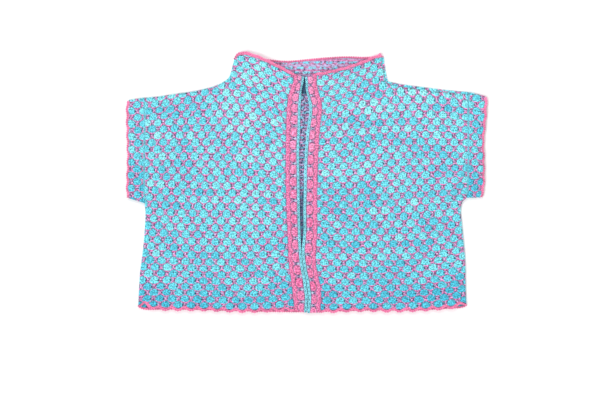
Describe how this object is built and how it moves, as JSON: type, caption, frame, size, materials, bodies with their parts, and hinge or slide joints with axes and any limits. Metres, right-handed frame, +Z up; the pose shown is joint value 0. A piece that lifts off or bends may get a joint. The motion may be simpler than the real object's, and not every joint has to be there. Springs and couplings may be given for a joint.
{
  "type": "cardigan",
  "caption": "Open-front honeycomb-knit cardigan with a funnel collar and short sleeves, laid flat face up.",
  "frame": {"origin": "on the resting surface, under the middle of the garment's bounding box", "axes": "+X towards the wearer's left sleeve, +Y towards the collar, +Z up from the resting surface to the outside of the fronts"},
  "size_m": [0.684, 0.4963, 0.0122],
  "materials": {
    "body_knit": "variegated turquoise wool bubbles over a pink net, matt",
    "band_knit": "pink wool bubbles and ridge with turquoise spots, matt",
    "chain_edge": "turquoise wool chain edging, matt",
    "pink_edge": "pink wool edging, matt"
  },
  "bodies": {
    "root": {"back": "body_knit", "right_front": "body_knit", "left_front": "body_knit", "right_cuff": "body_knit", "left_cuff": "body_knit", "right_band": "band_knit", "left_band": "band_knit", "right_band_edge": "chain_edge", "left_band_edge": "chain_edge", "right_cuff_edge": "pink_edge", "left_cuff_edge": "pink_edge", "back_hem_edge": "pink_edge", "right_front_hem_edge": "pink_edge", "left_front_hem_edge": "pink_edge", "back_collar_edge": "pink_edge", "right_collar_edge": "pink_edge", "left_collar_edge": "pink_edge"}
  },
  "joints": []
}
